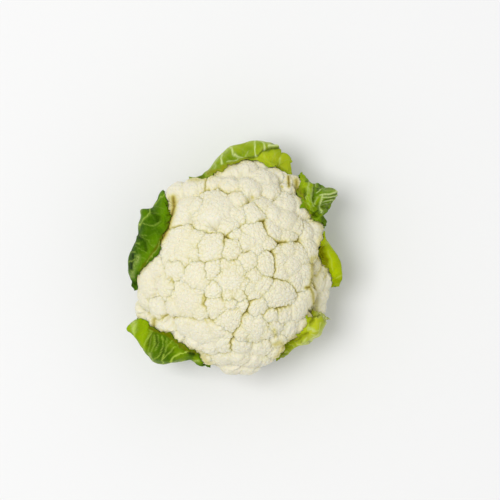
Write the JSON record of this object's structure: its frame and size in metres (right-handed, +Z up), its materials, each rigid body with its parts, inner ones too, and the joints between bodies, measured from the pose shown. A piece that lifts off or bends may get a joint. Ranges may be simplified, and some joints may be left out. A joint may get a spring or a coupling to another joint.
{
  "type": "cauliflower",
  "caption": "Fresh cauliflower head: a cream curd of packed florets on a cut stalk, with trimmed green leaves hugging its sides.",
  "frame": {"origin": "the middle of the stalk's flat cut face, on which the head stands", "axes": "+Z points up through the crown of the curd; +Y points to the top of the picture, where the pale leaf is; +X points to the picture's right"},
  "size_m": [0.1614, 0.1754, 0.1155],
  "materials": {
    "curd_cream": "matte, finely grained, slightly translucent cream",
    "stalk_green_white": "satin pale green-white, cut face matte",
    "leaf_pale_green": "satin leaf with paler veins",
    "leaf_fresh_green": "satin leaf with paler veins",
    "leaf_yellow_green": "satin leaf with paler veins",
    "leaf_light_green": "satin leaf with paler veins",
    "leaf_mid_green": "satin leaf with paler veins",
    "leaf_deep_green": "satin leaf with paler veins"
  },
  "bodies": {
    "root": {"curd": "curd_cream", "stalk": "stalk_green_white", "leaf_top": "leaf_pale_green", "leaf_upper_right": "leaf_fresh_green", "leaf_right": "leaf_yellow_green", "leaf_lower_right": "leaf_light_green", "leaf_lower_left": "leaf_mid_green", "leaf_left": "leaf_deep_green"}
  },
  "joints": []
}
